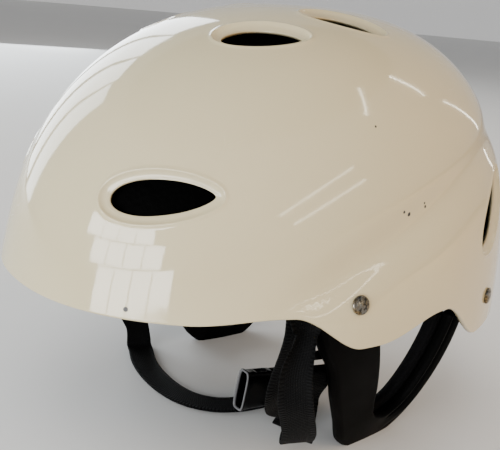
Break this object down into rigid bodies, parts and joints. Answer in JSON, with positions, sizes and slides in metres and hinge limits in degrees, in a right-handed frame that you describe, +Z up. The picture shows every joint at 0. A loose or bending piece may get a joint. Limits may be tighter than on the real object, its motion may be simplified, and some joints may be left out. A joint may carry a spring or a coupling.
{
  "type": "water sports helmet",
  "caption": "Glossy off-white water sports helmet with vents, a black foam liner, foam ear guards with open ears, and a webbing chin strap with a side-release buckle.",
  "frame": {"origin": "middle of the helmet's bounding box, on the surface that it stands on", "axes": "+Z up, -Y to the front of the helmet, +X to the wearer's left"},
  "size_m": [0.2246, 0.2968, 0.226],
  "materials": {
    "shell_coat": "polished",
    "black_foam": "satin",
    "padding": "matte",
    "webbing": "matte",
    "nickel": "satin",
    "black_plastic": "satin"
  },
  "bodies": {
    "helmet": {"shell": "shell_coat", "foam_liner": "black_foam", "crown_pad": "padding", "brow_pad": "padding", "nape_pad": "padding", "side_pad_left": "padding", "side_pad_right": "padding", "rivets": "nickel", "rivet_washers": "nickel", "guard_hangers": "black_plastic", "strap_anchors": "black_plastic", "nape_strap": "webbing", "front_strap_left": "webbing", "front_strap_right": "webbing", "adjuster_strap_left": "webbing", "adjuster_strap_right": "webbing", "side_strap_left": "webbing", "side_strap_right": "webbing", "ladder_lock_left": "black_plastic", "ladder_lock_right": "black_plastic"},
    "guard_left": {"ear_guard_left": "black_foam", "ear_pad_left": "padding"},
    "guard_right": {"ear_guard_right": "black_foam", "ear_pad_right": "padding"},
    "chin_left": {"chin_strap_left": "webbing"},
    "socket": {"buckle_socket": "black_plastic"},
    "chin_right": {"chin_strap_right": "webbing"},
    "plug": {"buckle_plug": "black_plastic"},
    "prong_left": {"prong_left": "black_plastic"},
    "prong_right": {"prong_right": "black_plastic"}
  },
  "joints": [
    {"name": "guard_left_hinge", "type": "hinge", "parent": "helmet", "child": "guard_left", "pos_m": [0.097, -0.0322, 0.094], "axis": [0.043, -0.9805, 0.1919], "range_deg": [0, 10], "stiffness_Nm_per_rad": 3},
    {"name": "guard_right_hinge", "type": "hinge", "parent": "helmet", "child": "guard_right", "pos_m": [-0.097, -0.0322, 0.094], "axis": [0.043, 0.9805, -0.1919], "range_deg": [0, 10], "stiffness_Nm_per_rad": 3},
    {"name": "chin_left_swing", "type": "hinge", "parent": "helmet", "child": "chin_left", "pos_m": [0.0976, -0.0559, 0.0885], "axis": [-0.2496, 0.9684, 0], "range_deg": [0, 25]},
    {"name": "socket_swivel", "type": "hinge", "parent": "chin_left", "child": "socket", "pos_m": [0.036, -0.01394, 0.02259], "axis": [0, 0.1392, 0.9903], "range_deg": [-20, 20]},
    {"name": "chin_right_swing", "type": "hinge", "parent": "helmet", "child": "chin_right", "pos_m": [-0.0798, -0.0355, 0.0042], "axis": [-0.3011, -0.9536, 0], "range_deg": [0, 50]},
    {"name": "plug_tilt", "type": "hinge", "parent": "chin_right", "child": "plug", "pos_m": [0.0155, -0.0032, 0.0037], "axis": [1, 0, 0], "range_deg": [0, 45]},
    {"name": "prong_left_flex", "type": "hinge", "parent": "plug", "child": "prong_left", "pos_m": [0.0228, 0.0103, 0.0037], "axis": [0, 0, 1], "range_deg": [0, 7], "stiffness_Nm_per_rad": 0.004},
    {"name": "prong_right_flex", "type": "hinge", "parent": "plug", "child": "prong_right", "pos_m": [0.0082, 0.0103, 0.0037], "axis": [0, 0, -1], "range_deg": [0, 7], "stiffness_Nm_per_rad": 0.004}
  ],
  "couplings": [
    {"joint": "prong_right_flex", "follows": "prong_left_flex", "ratio": 1}
  ]
}
